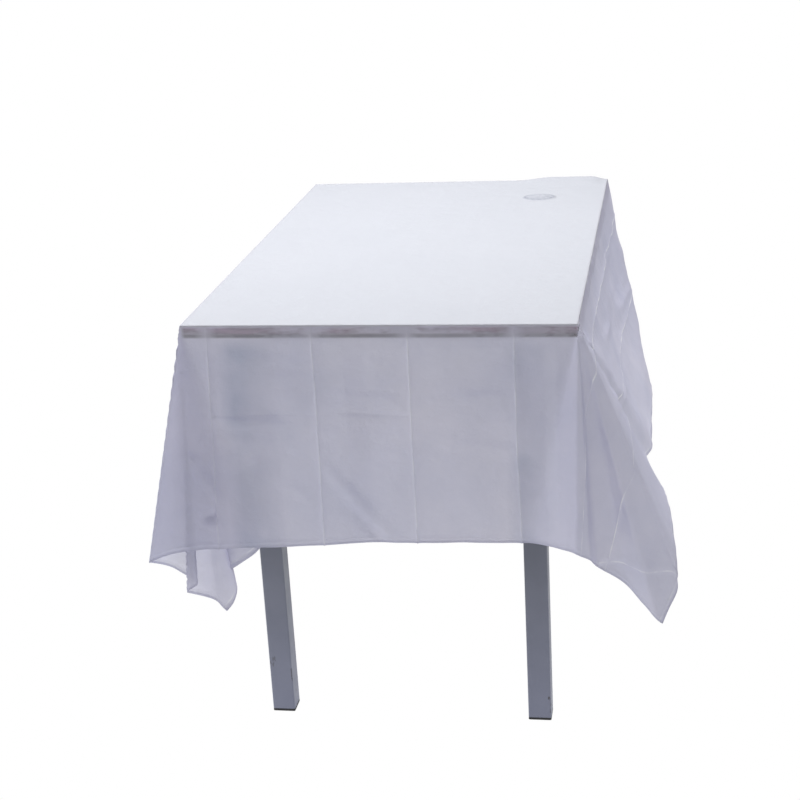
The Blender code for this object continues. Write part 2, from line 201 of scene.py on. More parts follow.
# ---- helpers ---------------------------------------------------------------------------------------------
def add_to_scene(name, mesh, material):
    obj = bpy.data.objects.new(name, mesh)
    bpy.context.scene.collection.objects.link(obj)
    mesh.materials.append(material)
    return obj


def node(tree, kind, **values):
    """A new shader node with its inputs set by name."""
    made = tree.nodes.new(kind)
    for key, value in values.items():
        made.inputs[key.replace("_", " ")].default_value = value
    return made


def fresh_material(name):
    material = bpy.data.materials.new(name)
    material.use_nodes = True
    tree = material.node_tree
    tree.nodes.clear()
    output = tree.nodes.new("ShaderNodeOutputMaterial")
    return material, tree, output


def noise_texture(tree, scale, detail=3.0, roughness=0.55, stretch=(1, 1, 1)):
    """Noise over the object's own metres."""
    place = tree.nodes.new("ShaderNodeTexCoord")
    mapping = tree.nodes.new("ShaderNodeMapping")
    mapping.inputs["Scale"].default_value = stretch
    tree.links.new(place.outputs["Object"], mapping.inputs["Vector"])
    texture = node(tree, "ShaderNodeTexNoise", Scale=scale, Detail=detail, Roughness=roughness)
    tree.links.new(mapping.outputs["Vector"], texture.inputs["Vector"])
    return texture.outputs["Fac"]


def ramp(tree, factor, *stops):
    """A colour ramp of (position, (r, g, b)) stops."""
    made = tree.nodes.new("ShaderNodeValToRGB")
    elements = made.color_ramp.elements
    while len(elements) < len(stops):
        elements.new(0.5)
    for element, (position, colour) in zip(elements, stops):
        element.position = position
        element.color = (*colour, 1)
    tree.links.new(factor, made.inputs["Fac"])
    return made.outputs["Color"]


def mix_colours(tree, factor, first, second):
    made = tree.nodes.new("ShaderNodeMixRGB")
    tree.links.new(factor, made.inputs["Fac"])
    tree.links.new(first, made.inputs["Color1"])
    tree.links.new(second, made.inputs["Color2"])
    return made.outputs["Color"]


def bump(tree, height, strength, distance):
    made = node(tree, "ShaderNodeBump", Strength=strength, Distance=distance)
    tree.links.new(height, made.inputs["Height"])
    return made.outputs["Normal"]


# ---- materials -------------------------------------------------------------------------------------------
FOOT_LINE = (SLAB_UNDERSIDE + 0.005, SLAB_UNDERSIDE + 0.009)  # where the edge band's foot, dark with painted shade, ends
ON_TOP = (TOP_LEVEL - 0.002, TOP_LEVEL)  # heights between which the hanging film becomes the film on top
NEAR_EDGE = MIDDLE[1] - TOP_LENGTH / 2
LEFT_EDGE = MIDDLE[0] - TOP_WIDTH / 2

# Shares of light that go straight through the film.
HAZE = 0.02  # everywhere
FOOT_CLARITY = 0.50  # along the foot of the edge band
PATCH_CLARITY = (0.06, 0.55)  # the least and the most above it
RIGHT_CLARITY = 0.34  # added by the right end of the front band
OTHER_EDGES = 0.08  # how much of all that the other three edges have
LEFT_EAR_CLARITY = 0.15
BRIDGE_REACH = 0.018  # beside a package fold the film stands off the edge band

# Painted highlights along the film's folds, its hem's weld and the ear's line: how strong they are, and how
# wide.
END_FOLD_HIGHLIGHT = 0.30
SIDE_FOLD_HIGHLIGHT = 1.0
WELD_HIGHLIGHT = 0.5
EAR_LINE_HIGHLIGHT = 0.8
LINE_CORE = 0.0004  # half the width of a line at full strength
FOLD_HIGHLIGHT_REACH = 0.0020
EAR_LINE_HIGHLIGHT_REACH = 0.0026

TRANSLUCENCY = 0.38
GLOSS = (0.075, 0.010)  # hanging and on top


def axis_share(tree, axis, low, high, start, end):
    """A value that goes from start to end between two places along an axis."""
    place = tree.nodes.new("ShaderNodeTexCoord")
    split = tree.nodes.new("ShaderNodeSeparateXYZ")
    tree.links.new(place.outputs["Object"], split.inputs["Vector"])
    share = node(tree, "ShaderNodeMapRange", From_Min=low, From_Max=high, To_Min=start, To_Max=end)
    tree.links.new(split.outputs[axis], share.inputs["Value"])
    return share.outputs["Result"]


def level_share(tree, low, high, start, end):
    """A value that goes from start to end between two heights."""
    return axis_share(tree, "Z", low, high, start, end)


def line_share(tree, apart, width, strength):
    """A value that is strongest on a line and gone at its width."""
    share = node(tree, "ShaderNodeMapRange", From_Min=LINE_CORE, From_Max=width, To_Min=strength, To_Max=0.0)
    tree.links.new(apart, share.inputs["Value"])
    return share.outputs["Result"]


def calculate(tree, operation, first, second):
    made = tree.nodes.new("ShaderNodeMath")
    made.operation = operation
    for socket, value in zip(made.inputs, (first, second)):
        if isinstance(value, float):
            socket.default_value = value
        else:
            tree.links.new(value, socket)
    return made.outputs["Value"]


def product(tree, *shares):
    """Shares multiplied together, from the left."""
    result = shares[0]
    for share in shares[1:]:
        result = calculate(tree, "MULTIPLY", result, share)
    return result


def distance_from(tree, place, line):
    return calculate(tree, "ABSOLUTE", calculate(tree, "SUBTRACT", place, line), 0.0)


def cling_on_front_band(tree):
    """How clear the film is over the front edge band: at its foot, in patches, and more by its right end."""
    foot = level_share(tree, *FOOT_LINE, FOOT_CLARITY, 0.0)
    foot = product(tree, foot, ramp(tree, noise_texture(tree, 5), (0.42, (0.35,) * 3), (0.6, (1,) * 3)))
    least, most = PATCH_CLARITY
    patchy = noise_texture(tree, 13, 3.0, 0.6, (1, 1, 3))
    patches = ramp(tree, patchy, (0.42, (least,) * 3), (0.60, (most,) * 3))
    right_edge = MIDDLE[0] + TOP_WIDTH / 2
    towards_right = axis_share(tree, "X", MIDDLE[0] + 0.10, right_edge, 0.0, RIGHT_CLARITY)
    wet = calculate(tree, "MAXIMUM", foot, calculate(tree, "ADD", patches, towards_right))
    across, _ = flat_place(tree)
    for fold in CREASES_ACROSS:
        if abs(fold) < TOP_WIDTH / 2:
            bridged = line_share(tree, distance_from(tree, across, fold), BRIDGE_REACH, 0.9)
            wet = product(tree, wet, calculate(tree, "SUBTRACT", 1.0, bridged))
    return wet


def cling(tree):
    """How clear the film is: milky nearly everywhere, clearer in patches where it clings to the edge band."""
    above_foot = level_share(tree, SLAB_UNDERSIDE - 0.001, SLAB_UNDERSIDE + 0.002, 0.0, 1.0)
    under_top = level_share(tree, TOP_LEVEL - 0.004, TOP_LEVEL - 0.001, 1.0, 0.0)
    past_left_edge = axis_share(tree, "X", LEFT_EDGE + 0.001, LEFT_EDGE + 0.006, 0.0, 1.0)
    at_front = axis_share(tree, "Y", NEAR_EDGE + 0.002, NEAR_EDGE + 0.03, 1.0, OTHER_EDGES)
    on_edge = product(tree, above_foot, under_top, cling_on_front_band(tree), past_left_edge, at_front)
    left_ear = axis_share(tree, "X", LEFT_EDGE - 0.03, LEFT_EDGE - 0.005, LEFT_EAR_CLARITY, 0.0)
    left_ear = product(tree, left_ear, level_share(tree, SLAB_UNDERSIDE - 0.03, SLAB_UNDERSIDE, 1.0, 0.0))
    return calculate(tree, "ADD", calculate(tree, "ADD", on_edge, left_ear), HAZE)


def leg_shade(tree):
    """How much darker the film hangs in front of the two near legs."""
    darkness = 0.0
    for leg in ("leg_front_left", "leg_front_right"):
        low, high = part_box(leg)
        into = axis_share(tree, "X", low[0] - 0.012, low[0] + 0.012, 0.0, 1.0)
        out_of = axis_share(tree, "X", high[0] - 0.010, high[0] + 0.040, 1.0, 0.0)
        darkness = calculate(tree, "MAXIMUM", product(tree, into, out_of), darkness)
    near = axis_share(tree, "Y", NEAR_EDGE - 0.01, NEAR_EDGE + 0.03, 1.0, 0.0)
    under_slab = level_share(tree, SLAB_UNDERSIDE - 0.02, SLAB_UNDERSIDE, 1.0, 0.0)
    patches = ramp(tree, noise_texture(tree, 7, 3.0), (0.38, (0.3,) * 3), (0.58, (1,) * 3))
    return product(tree, darkness, near, under_slab, patches)


def flat_place(tree):
    """Where a point lies on the flat cloth, as its two coordinates."""
    place = tree.nodes.new("ShaderNodeUVMap")
    place.uv_map = "flat_cloth"
    split = tree.nodes.new("ShaderNodeSeparateXYZ")
    tree.links.new(place.outputs["UV"], split.inputs["Vector"])
    return split.outputs["X"], split.outputs["Y"]


def pucker_painted_shade(tree):
    """Painted shade on the pucker, where the film stands off the white table top: greyer, and darkest at its
    rim.
    """
    squares = []
    for place, middle, reach in zip(flat_place(tree), PUCKER_PLACE, PUCKER_REACH):
        apart = calculate(tree, "DIVIDE", calculate(tree, "SUBTRACT", place, middle), reach)
        squares.append(calculate(tree, "MULTIPLY", apart, apart))
    out = calculate(tree, "SQRT", calculate(tree, "ADD", *squares), 0.0)
    return ramp(tree, out, (0.0, (0.25,) * 3), (0.7, (0.5,) * 3), (0.85, (0.9,) * 3), (1.0, (0,) * 3))


# Painted highlight along the line across the right front ear.
def painted_ear_line_highlight(tree, across, along):
    past_side = calculate(tree, "SUBTRACT", across, TOP_WIDTH / 2 + EAR_LINE_START[0])
    past_end = calculate(tree, "SUBTRACT", -TOP_LENGTH / 2 - EAR_LINE_START[1], along)
    from_line = calculate(tree, "ADD", past_end, calculate(tree, "MULTIPLY", past_side, EAR_LINE_FALL))
    line = line_share(tree, distance_from(tree, from_line, 0.0), EAR_LINE_HIGHLIGHT_REACH, EAR_LINE_HIGHLIGHT)
    return product(tree, line, calculate(tree, "GREATER_THAN", past_side, 0.0))


def painted_fold_highlights(tree):
    """Painted highlights along the film's package folds, its hem's weld and the ear's line, uneven in
    patches.
    """
    across, along = flat_place(tree)
    weld = WELD_LINES[1]
    half_x, half_y = TOP_WIDTH / 2, TOP_LENGTH / 2
    lines = []
    for fold in CREASES_ACROSS:
        lines.append((across, fold, END_FOLD_HIGHLIGHT if abs(fold) < half_x else SIDE_FOLD_HIGHLIGHT))
    lines.append((across, -half_x - LEFT_DROP + weld, WELD_HIGHLIGHT))
    lines.append((across, half_x + RIGHT_DROP - weld, WELD_HIGHLIGHT))
    lines.append((along, half_y + REAR_DROP - weld, WELD_HIGHLIGHT))
    total = 0.0
    for place, line, strength in lines:
        share = line_share(tree, distance_from(tree, place, line), FOLD_HIGHLIGHT_REACH, strength)
        total = calculate(tree, "MAXIMUM", share, total)
    total = calculate(tree, "MAXIMUM", painted_ear_line_highlight(tree, across, along), total)
    patches = ramp(tree, noise_texture(tree, 26), (0.38, (0.08,) * 3), (0.60, (1,) * 3))
    hanging = level_share(tree, TOP_LEVEL - 0.030, TOP_LEVEL - 0.002, 1.0, 0.0)
    return product(tree, total, patches, hanging)


def film_colour(tree):
    milky = noise_texture(tree, 5, 5.0, 0.6)
    colour = ramp(tree, milky, (0.3, (0.585, 0.590, 0.735)), (0.7, (0.690, 0.680, 0.800)))
    shaded = ramp(tree, noise_texture(tree, 9), (0.4, (0.43, 0.46, 0.60)), (0.6, (0.49, 0.50, 0.63)))
    colour = mix_colours(tree, leg_shade(tree), colour, shaded)
    # painted highlight colour for the folds, the weld and the ear's line
    highlight_colour = ramp(tree, noise_texture(tree, 60), (0.3, (0.84, 0.84, 0.90)), (0.7, (0.90, 0.90, 0.95)))
    colour = mix_colours(tree, painted_fold_highlights(tree), colour, highlight_colour)
    on_top = ramp(tree, noise_texture(tree, 4), (0.3, (0.538, 0.546, 0.596)), (0.7, (0.549, 0.556, 0.606)))
    # painted shade colour for the pucker on the table top
    pucker_shade_colour = ramp(tree, noise_texture(tree, 120), (0.35, (0.30, 0.31, 0.37)), (0.65, (0.46, 0.47, 0.53)))
    on_top = mix_colours(tree, pucker_painted_shade(tree), on_top, pucker_shade_colour)
    return mix_colours(tree, level_share(tree, *ON_TOP, 0.0, 1.0), colour, on_top)


def film_normal(tree):
    fine = bump(tree, noise_texture(tree, 900, 2.0), 0.05, 0.0002)
    soft = node(tree, "ShaderNodeBump", Strength=0.8, Distance=0.0030)
    tree.links.new(noise_texture(tree, 38, 4.0), soft.inputs["Height"])
    tree.links.new(fine, soft.inputs["Normal"])
    return soft.outputs["Normal"]


def mix_shaders(tree, share, first, second):
    """Two shaders mixed by a plain share or by a socket that gives one."""
    made = tree.nodes.new("ShaderNodeMixShader")
    if isinstance(share, float):
        made.inputs["Fac"].default_value = share
    else:
        tree.links.new(share, made.inputs["Fac"])
    tree.links.new(first, made.inputs[1])
    tree.links.new(second, made.inputs[2])
    return made.outputs["Shader"]


def film_material():
    """Thin milky film: it scatters light both ways, lets a little straight through and has a satin face."""
    material, tree, output = fresh_material("peva_film")
    colour, normal = film_colour(tree), film_normal(tree)
    front = node(tree, "ShaderNodeBsdfDiffuse")
    through = node(tree, "ShaderNodeBsdfTranslucent")
    gloss = node(tree, "ShaderNodeBsdfGlossy", Roughness=0.24)
    clear = node(tree, "ShaderNodeBsdfTransparent")
    for shader in (front, through):
        tree.links.new(colour, shader.inputs["Color"])
    for shader in (front, through, gloss):
        tree.links.new(normal, shader.inputs["Normal"])
    body = mix_shaders(tree, TRANSLUCENCY, front.outputs["BSDF"], through.outputs["BSDF"])
    veil = mix_shaders(tree, cling(tree), body, clear.outputs["BSDF"])
    surface = mix_shaders(tree, level_share(tree, *ON_TOP, *GLOSS), veil, gloss.outputs["BSDF"])
    tree.links.new(surface, output.inputs["Surface"])
    return material


def principled(name, colour, roughness, metallic=0.0, height=None, height_depth=0.0005, strength=0.3):
    """A Principled material. colour, height and a roughness that isn't a number are functions of the tree."""
    material, tree, output = fresh_material(name)
    shader = tree.nodes.new("ShaderNodeBsdfPrincipled")
    tree.links.new(colour(tree), shader.inputs["Base Color"])
    if callable(roughness):
        tree.links.new(roughness(tree), shader.inputs["Roughness"])
    else:
        shader.inputs["Roughness"].default_value = roughness
    shader.inputs["Metallic"].default_value = metallic
    if height:
        tree.links.new(bump(tree, height(tree), strength, height_depth), shader.inputs["Normal"])
    tree.links.new(shader.outputs["BSDF"], output.inputs["Surface"])
    return material


def paint_material():
    """Blue-grey powder coat with a fine orange peel and a few scuffs to bare metal near the floor; painted
    light makes it lighter towards the floor and darker in the shade up under the table.
    """
    def colour(tree):
        mottle = noise_texture(tree, 9, 4.0)
        # painted shade and light: darker up under the table top, lighter near the bright floor
        upper = ramp(tree, mottle, (0.35, (0.125, 0.135, 0.165)), (0.7, (0.15, 0.16, 0.195)))
        lower_painted_light = ramp(tree, mottle, (0.35, (0.235, 0.25, 0.34)), (0.7, (0.265, 0.28, 0.375)))
        chips = noise_texture(tree, 75, 4.0, 0.6, (1, 1, 0.35))
        scuff = ramp(tree, chips, (0.645, (0, 0, 0)), (0.665, (1, 1, 1)))
        coat_with_painted_light = mix_colours(tree, level_share(tree, 0.02, 0.34, 0.0, 1.0), lower_painted_light, upper)
        amount = calculate(tree, "MULTIPLY", scuff, level_share(tree, 0.03, 0.16, 1.0, 0.0))
        bare = ramp(tree, noise_texture(tree, 40), (0.4, (0.05, 0.045, 0.045)), (0.6, (0.09, 0.08, 0.08)))
        return mix_colours(tree, amount, coat_with_painted_light, bare)

    def roughness(tree):
        return ramp(tree, noise_texture(tree, 30, 3.0), (0.3, (0.38,) * 3), (0.7, (0.48,) * 3))

    def height(tree):
        return noise_texture(tree, 650, 2.0)

    return principled("powder_coat", colour, roughness, 0.15, height, 0.0003, 0.15)


def laminate_material():
    def colour(tree):
        return ramp(tree, noise_texture(tree, 60, 4.0), (0.3, (0.84, 0.88, 0.78)), (0.7, (0.88, 0.92, 0.82)))

    def height(tree):
        return noise_texture(tree, 1400, 2.0)

    return principled("white_laminate", colour, 0.42, 0.0, height, 0.0002, 0.2)


def edging_material():
    """Dark warm edge band with a faint lengthwise grain, and painted shade along its foot."""
    def colour(tree):
        share = level_share(tree, *FOOT_LINE, 0.0, 1.0)
        grain = noise_texture(tree, 14, 4.0, 0.6, (1, 1, 8))
        upper = ramp(tree, grain, (0.35, (0.11, 0.050, 0.085)), (0.65, (0.42, 0.28, 0.38)))
        # painted shade: the band's foot nearly black, as if in shade under the table top's edge
        foot = ramp(tree, grain, (0.35, (0.010, 0.006, 0.008)), (0.7, (0.05, 0.03, 0.04)))
        return mix_colours(tree, share, foot, upper)

    def height(tree):
        return noise_texture(tree, 300, 3.0, 0.6, (0.2, 0.2, 2))

    return principled("edge_band", colour, 0.5, 0.0, height, 0.0003, 0.25)


def chipboard_material():
    def colour(tree):
        chips = tree.nodes.new("ShaderNodeTexVoronoi")
        chips.inputs["Scale"].default_value = 260
        place = tree.nodes.new("ShaderNodeTexCoord")
        tree.links.new(place.outputs["Object"], chips.inputs["Vector"])
        return ramp(tree, chips.outputs["Distance"], (0.1, (0.24, 0.16, 0.09)), (0.6, (0.50, 0.38, 0.24)))

    def height(tree):
        return noise_texture(tree, 420, 4.0)

    return principled("raw_chipboard", colour, 0.85, 0.0, height, 0.0006, 0.6)


def plastic_material():
    def colour(tree):
        grain = noise_texture(tree, 120, 3.0)
        return ramp(tree, grain, (0.3, (0.018, 0.018, 0.02)), (0.7, (0.03, 0.03, 0.033)))

    def height(tree):
        return noise_texture(tree, 1100, 2.0)

    return principled("moulded_plastic", colour, 0.55, 0.0, height, 0.0002, 0.35)


def zinc_material():
    def colour(tree):
        return ramp(tree, noise_texture(tree, 500, 3.0), (0.3, (0.48, 0.49, 0.50)), (0.7, (0.62, 0.62, 0.60)))

    def roughness(tree):
        return ramp(tree, noise_texture(tree, 800, 2.0), (0.3, (0.25,) * 3), (0.7, (0.42,) * 3))

    return principled("zinc_plate", colour, roughness, 1.0)


def dress_frame():
    """Gives every CAD node that stays in view its finished material."""
    by_slot = {
        "laminate": laminate_material(),
        "edging": edging_material(),
        "chipboard": chipboard_material(),
        "painted_steel": paint_material(),
        "black_plastic": plastic_material(),
        "zinc": zinc_material(),
    }
    slots = {part["node"]: part["material_slot"] for part in frame["record"]["subparts"]}
    for name, obj in frame["nodes"].items():
        if slots[name] not in by_slot:
            continue
        for slot in obj.material_slots:
            slot.material = by_slot[slots[name]]


# ---- the cloth's mesh ------------------------------------------------------------------------------------
def grid_lines(low, high, folds):
    """Sorted grid lines at a regular step, with closer lines beside each fold and inside each hem."""
    reach = WELD_LINES[-1]
    lines = list(np.linspace(low + reach, high - reach, round((high - low) / GRID_STEP) + 1)[1:-1])
    for fold in folds:
        lines = [x for x in lines if abs(x - fold) > 0.0052]
        lines += [fold + d for d in (-0.004, -0.002, -0.0008, 0, 0.0008, 0.002, 0.004)]
    for hem, inward in ((low, 1), (high, -1)):
        lines += [hem] + [hem + inward * line for line in HEM_LINES + WELD_LINES]
    return np.array(sorted(lines))


def front_drop(u):
    left = FRONT_DROP_LEFT + (FRONT_DROP_MIDDLE - FRONT_DROP_LEFT) * smooth(-0.36, 0.1, u)
    return left + (FRONT_DROP_RIGHT - FRONT_DROP_MIDDLE) * smooth(0.1, 0.36, u)


def flat_cloth():
    """The flat cloth as two grids, u across and v along, from the table's middle."""
    half_x, half_y = TOP_WIDTH / 2, TOP_LENGTH / 2
    edge_x, edge_y = half_x + FILM_GAP, half_y + FILM_GAP
    across = grid_lines(-half_x - LEFT_DROP, half_x + RIGHT_DROP, (*CREASES_ACROSS, -edge_x, edge_x))
    nominal = (FRONT_DROP_LEFT + FRONT_DROP_RIGHT) / 2
    along = grid_lines(-half_y - nominal, half_y + REAR_DROP, (*CREASES_ALONG, -edge_y, edge_y))
    u, v = np.meshgrid(across, along, indexing="ij")
    beyond = np.maximum(-edge_y - v, 0)
    v = np.where(beyond > 0, -edge_y - beyond * front_drop(u) / nominal, v)
    return u, v


def field(u, v, scale_u, scale_v, seed):
    """Smooth seeded noise over the flat cloth, from -1 to 1, with that many waves a metre each way."""
    values = [noise.noise(Vector((a * scale_u, b * scale_v, seed))) for a, b in zip(u.ravel(), v.ravel())]
    return np.array(values).reshape(u.shape)


def fold_line(distance, width):
    return np.exp(-np.abs(distance) / width)


def normals_of(places):
    """Normals averaged over near neighbours, and shorter where the film folds sharply."""
    du = np.gradient(places, axis=0)
    dv = np.gradient(places, axis=1)
    cross = np.cross(du, dv)
    normals = cross / (np.linalg.norm(cross, axis=-1, keepdims=True) + 1e-12)
    padded = np.pad(normals, ((2, 2), (2, 2), (0, 0)), mode="edge")
    rows, columns = normals.shape[:2]
    near = [padded[i : i + rows, j : j + columns] for i in range(5) for j in range(5)]
    average = sum(near) / len(near)
    share = np.linalg.norm(average, axis=-1, keepdims=True)
    return average / (share + 1e-12) * share**8


# How far the film stands proud of its smooth drape, in metres.
END_FOLD_HEIGHT = 0.0022
SIDE_FOLD_HEIGHT = 0.0010
CROSS_FOLD_HEIGHT = 0.0004
FOLD_WIDTH = 0.0024
CROSS_FOLD_WIDTH = 0.0022
PILLOW_HEIGHT = 0.0040
BILLOW_HEIGHT = 0.0046
CRINKLE_HEIGHT = 0.0006
END_RIPPLE_HEIGHT = 0.0026
SIDE_RIPPLE_HEIGHT = 0.0012
EDGE_WRINKLE_HEIGHT = 0.0036
FLAT_WAVE_HEIGHT = 0.00022
WELD_HEIGHT = 0.0010
WELD_WIDTH = 0.0012


def fold_relief(u, v, hanging):
    height = np.zeros(u.shape)
    for crease in CREASES_ACROSS:
        depth = END_FOLD_HEIGHT if abs(crease) < TOP_WIDTH / 2 else SIDE_FOLD_HEIGHT
        height += depth * fold_line(u - crease, FOLD_WIDTH) * (0.05 + 0.95 * hanging)
    for number, crease in enumerate(CREASES_ALONG):
        depth = CROSS_FOLD_HEIGHT if number % 2 else -CROSS_FOLD_HEIGHT
        height += depth * fold_line(v - crease, CROSS_FOLD_WIDTH) * (0.3 + 0.7 * hanging)
    return height


def ripple_band(past_edge):
    """The stretch of a drop that has fine ripples, from just under the table's edge to above the hem."""
    return smooth(0.02, 0.08, past_edge) * (1 - smooth(0.2, 0.28, past_edge))


def relief(u, v):
    """The film's height over its smooth drape: package folds, pillowed panels and small wrinkles."""
    past_side, past_end = np.abs(u) - TOP_WIDTH / 2, np.abs(v) - TOP_LENGTH / 2
    fall = np.hypot(np.maximum(past_side, 0), np.maximum(past_end, 0))
    hanging = smooth(0.004, 0.06, fall)
    height = fold_relief(u, v, hanging)
    past_corner = smooth(-0.10, 0.02, np.minimum(past_side, past_end))
    loose = hanging * (1 - 0.85 * past_corner)
    height += loose * PILLOW_HEIGHT * field(u, v, 6, 6, 1)
    height += loose * BILLOW_HEIGHT * field(u, v, 14, 11, 2)
    height += hanging * CRINKLE_HEIGHT * field(u, v, 45, 45, 3)
    height += ripple_band(past_end) * (1 - past_corner) * END_RIPPLE_HEIGHT * field(u, v, 9, 42, 4)
    height += ripple_band(past_side) * (1 - past_corner) * SIDE_RIPPLE_HEIGHT * field(u, v, 42, 9, 6)
    on_edge = smooth(0.001, 0.006, fall) * (1 - smooth(0.016, 0.030, fall))
    height += on_edge * EDGE_WRINKLE_HEIGHT * np.maximum(field(u, v, 30, 40, 7), 0)
    height += FLAT_WAVE_HEIGHT * field(u, v, 30, 30, 5)
    to_hem = np.minimum(u[-1:, :] - u, u - u[:1, :])
    to_hem = np.minimum(to_hem, np.minimum(v[:, -1:] - v, v - v[:, :1]))
    height += WELD_HEIGHT * fold_line(to_hem - WELD_LINES[1], WELD_WIDTH)
    return height


def wrinkle(across, down, start, end, width, height):
    """A ridge along a short segment of the flat cloth, dying away at both ends."""
    run = np.subtract(end, start)
    length = math.hypot(*run)
    along = ((across - start[0]) * run[0] + (down - start[1]) * run[1]) / length
    beside = ((across - start[0]) * run[1] - (down - start[1]) * run[0]) / length
    fade = smooth(-0.2 * length, 0.2 * length, along) * (1 - smooth(0.8 * length, 1.2 * length, along))
    return height * fade * np.exp(-((beside / width) ** 2))


# Single wrinkles: start and end (along the edge from its middle, and past the edge), width and height.
FRONT_WRINKLES = (
    ((-0.085, 0.235), (0.010, 0.345), 0.010, 0.0060), ((-0.060, 0.300), (-0.010, 0.350), 0.006, -0.0030),
    ((-0.283, 0.318), (-0.262, 0.312), 0.005, -0.0050), ((-0.276, 0.332), (-0.258, 0.326), 0.004, 0.0040),
    ((-0.300, 0.215), (-0.255, 0.290), 0.008, 0.0035), ((-0.255, 0.150), (-0.120, 0.165), 0.006, 0.0022),
    ((-0.080, 0.110), (0.030, 0.118), 0.006, 0.0026), ((-0.060, 0.140), (0.040, 0.146), 0.005, -0.0022),
    ((0.070, 0.120), (0.190, 0.112), 0.006, 0.0024), ((0.090, 0.190), (0.200, 0.200), 0.009, 0.0022),
    ((-0.230, 0.050), (-0.110, 0.062), 0.007, 0.0022), ((-0.160, 0.255), (-0.110, 0.285), 0.009, 0.0030),
)
SIDE_WRINKLES = (
    ((-0.495, 0.020), (-0.440, 0.075), 0.004, 0.0035), ((-0.500, 0.060), (-0.430, 0.045), 0.004, 0.0030),
    ((-0.480, 0.150), (-0.330, 0.185), 0.005, 0.0030), ((-0.420, 0.215), (-0.250, 0.200), 0.005, 0.0032),
    ((-0.470, 0.235), (-0.360, 0.262), 0.006, -0.0028), ((-0.250, 0.110), (-0.050, 0.135), 0.007, 0.0026),
    ((-0.080, 0.060), (0.200, 0.075), 0.007, 0.0022), ((0.100, 0.160), (0.300, 0.180), 0.008, 0.0026),
)


def single_wrinkles(u, v):
    past_front = -TOP_LENGTH / 2 - v
    past_right = u - TOP_WIDTH / 2
    total = np.zeros(u.shape)
    for start, end, width, height in FRONT_WRINKLES:
        total += np.where(past_front > 0, wrinkle(u, past_front, start, end, width, height), 0)
    for start, end, width, height in SIDE_WRINKLES:
        total += np.where(past_right > 0, wrinkle(v, past_right, start, end, width, height), 0)
    return total


def ear_line(u, v):
    """Two close ridges across the right front ear, where the hem of the film behind presses through."""
    past_side = u - TOP_WIDTH / 2 - EAR_LINE_START[0]
    step = -TOP_LENGTH / 2 - v - EAR_LINE_START[1] + EAR_LINE_FALL * past_side
    pair = fold_line(step, EAR_RIDGE_WIDTH) + fold_line(step + EAR_RIDGE_SPACING, EAR_RIDGE_WIDTH)
    layer_behind = (1 - smooth(-0.006, 0.006, step)) * smooth(-0.06, -0.02, step)
    height = EAR_RIDGE_HEIGHT * pair + EAR_LAYER_HEIGHT * layer_behind
    return smooth(-0.005, 0.005, past_side) * height


def top_puckers(u, v):
    """Small lifts of the film off the table top: a lens-shaped pucker and a loose stretch by the far edge."""
    out_u = (u - PUCKER_PLACE[0]) / PUCKER_REACH[0]
    out_v = (v - PUCKER_PLACE[1]) / PUCKER_REACH[1]
    pucker = np.sqrt(np.clip(1 - out_u**2 - out_v**2, 0, 1))
    along_edge = smooth(0.12, 0.19, u) * (1 - smooth(0.27, 0.298, u))
    loose = along_edge * smooth(0.42, 0.49, v) * (1 - smooth(0.498, 0.53, v))
    return PUCKER_HEIGHT * pucker + FAR_EDGE_LIFT * loose


def clear_of_slab(places):
    """Pushes any film that would cut into the table top's edge back out past it."""
    out = places.copy()
    half = np.array([TOP_WIDTH / 2, TOP_LENGTH / 2]) + FILM_GAP
    inside = (np.abs(out[..., 0]) < half[0]) & (np.abs(out[..., 1]) < half[1])
    inside &= (out[..., 2] < TOP_LEVEL + 0.5 * FILM_GAP) & (out[..., 2] > SLAB_UNDERSIDE - 0.002)
    gap_x = half[0] - np.abs(out[..., 0])
    gap_y = half[1] - np.abs(out[..., 1])
    use_x = inside & (gap_x <= gap_y)
    use_y = inside & (gap_x > gap_y)
    out[..., 0] = np.where(use_x, np.sign(out[..., 0]) * half[0], out[..., 0])
    out[..., 1] = np.where(use_y, np.sign(out[..., 1]) * half[1], out[..., 1])
    return out


def round_edges(places, passes=3):
    """Softens the film's bend over the table's edges: points near them move towards their neighbours."""
    half = np.array([TOP_WIDTH / 2, TOP_LENGTH / 2]) + FILM_GAP
    level = TOP_LEVEL + TOP_GAP
    for _ in range(passes):
        around = places.copy()
        around[1:-1, 1:-1] = (places[2:, 1:-1] + places[:-2, 1:-1] + places[1:-1, 2:] + places[1:-1, :-2]) / 4
        near_x = np.abs(np.abs(places[..., 0]) - half[0]) < EDGE_RADIUS
        near_y = np.abs(np.abs(places[..., 1]) - half[1]) < EDGE_RADIUS
        near = (near_x | near_y) & (np.abs(places[..., 2] - level) < EDGE_RADIUS)
        places = np.where(near[..., None], 0.5 * places + 0.5 * around, places)
    return places


def turn_hem_back(places):
    """Adds the hem allowance: the film's edge folded over and welded flat behind it on all four sides."""
    behind = places - normals_of(places) * HEM_LIFT
    count = len(HEM_LINES)
    rows = np.concatenate([behind[count:0:-1], places, behind[-2 : -count - 2 : -1]], axis=0)
    deeper = rows - np.concatenate([places[count:0:-1], places, places[-2 : -count - 2 : -1]], axis=0)
    turned = np.concatenate([behind[count:0:-1], behind, behind[-2 : -count - 2 : -1]], axis=0) + deeper
    left, right = turned[:, count:0:-1], turned[:, -2 : -count - 2 : -1]
    return np.concatenate([left, rows, right], axis=1)


def cloth_surface():
    u, v = flat_cloth()
    places = draped(u, v)
    places = round_edges(places)
    height = relief(u, v) + ear_line(u, v) + single_wrinkles(u, v)
    places = places + normals_of(places) * height[..., None]
    above_top = (np.abs(u) < TOP_WIDTH / 2) & (v < TOP_LENGTH / 2 + 0.03)
    places[..., 2] += np.where(above_top, top_puckers(u, v), 0)
    places = clear_of_slab(places)
    places = turn_hem_back(places)
    places[..., 0] += MIDDLE[0]
    places[..., 1] += MIDDLE[1]
    count = len(HEM_LINES)
    flat = np.pad(np.stack([u, v], -1), ((count, count), (count, count), (0, 0)), mode="reflect")
    return places, flat


